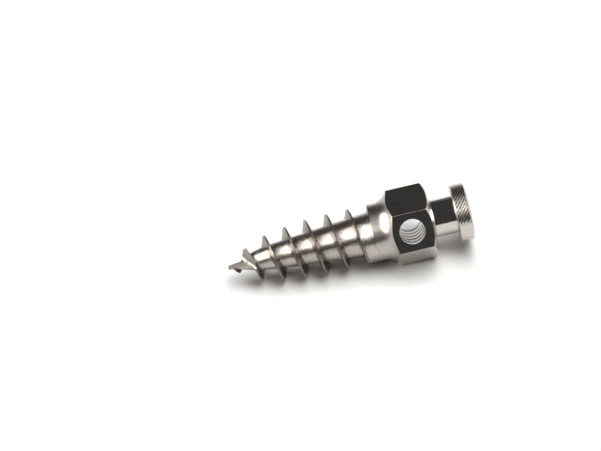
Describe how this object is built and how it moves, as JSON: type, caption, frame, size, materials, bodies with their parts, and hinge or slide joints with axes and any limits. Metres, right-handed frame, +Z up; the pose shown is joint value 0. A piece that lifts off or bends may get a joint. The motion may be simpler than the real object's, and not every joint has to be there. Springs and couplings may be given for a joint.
{
  "type": "dental mini implant",
  "caption": "One-piece self-tapping screw with a tapered thread, a hexagon with a cross hole, a neck and a button head, for anchoring in jaw bone.",
  "frame": {"origin": "on the floor under the middle of the lying screw's box", "axes": "+Z up, +X along the screw from its tip to its button, +Y away from the holed flat in front"},
  "size_m": [0.0086, 0.0028, 0.0024],
  "materials": {
    "titanium_alloy": "machined, bright and lightly tool-marked"
  },
  "bodies": {
    "root": {"mini_implant": "titanium_alloy"}
  },
  "joints": []
}
